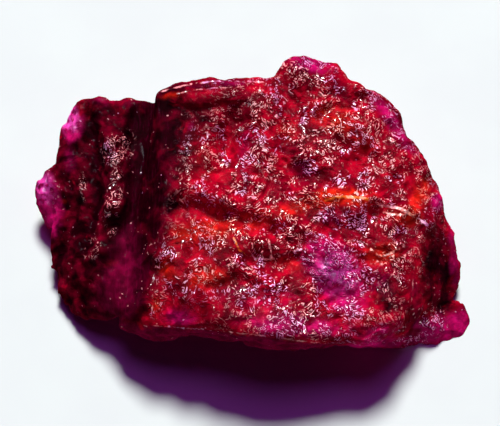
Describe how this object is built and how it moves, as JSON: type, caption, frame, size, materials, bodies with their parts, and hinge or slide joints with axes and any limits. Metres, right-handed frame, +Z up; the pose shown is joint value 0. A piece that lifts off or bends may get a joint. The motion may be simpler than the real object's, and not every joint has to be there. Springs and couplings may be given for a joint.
{
  "type": "red beryl crystal",
  "caption": "Rough lump of glossy crimson beryl with a broad crinkled face, a darker side wing and a flat underside to rest on.",
  "frame": {"origin": "on the flat underside, beneath the middle of the lump's bounding box", "axes": "+Z up, square to the underside; +X along the lump's length, from the darker wing to the low tongue; +Y towards the back, up the rise of the broad face"},
  "size_m": [0.0344, 0.0226, 0.0111],
  "materials": {
    "red_beryl": "glossy, crinkled, cloudy crimson gem rough that lets little light through, with wine, ember and magenta zones"
  },
  "bodies": {
    "root": {"crystal": "red_beryl"}
  },
  "joints": []
}
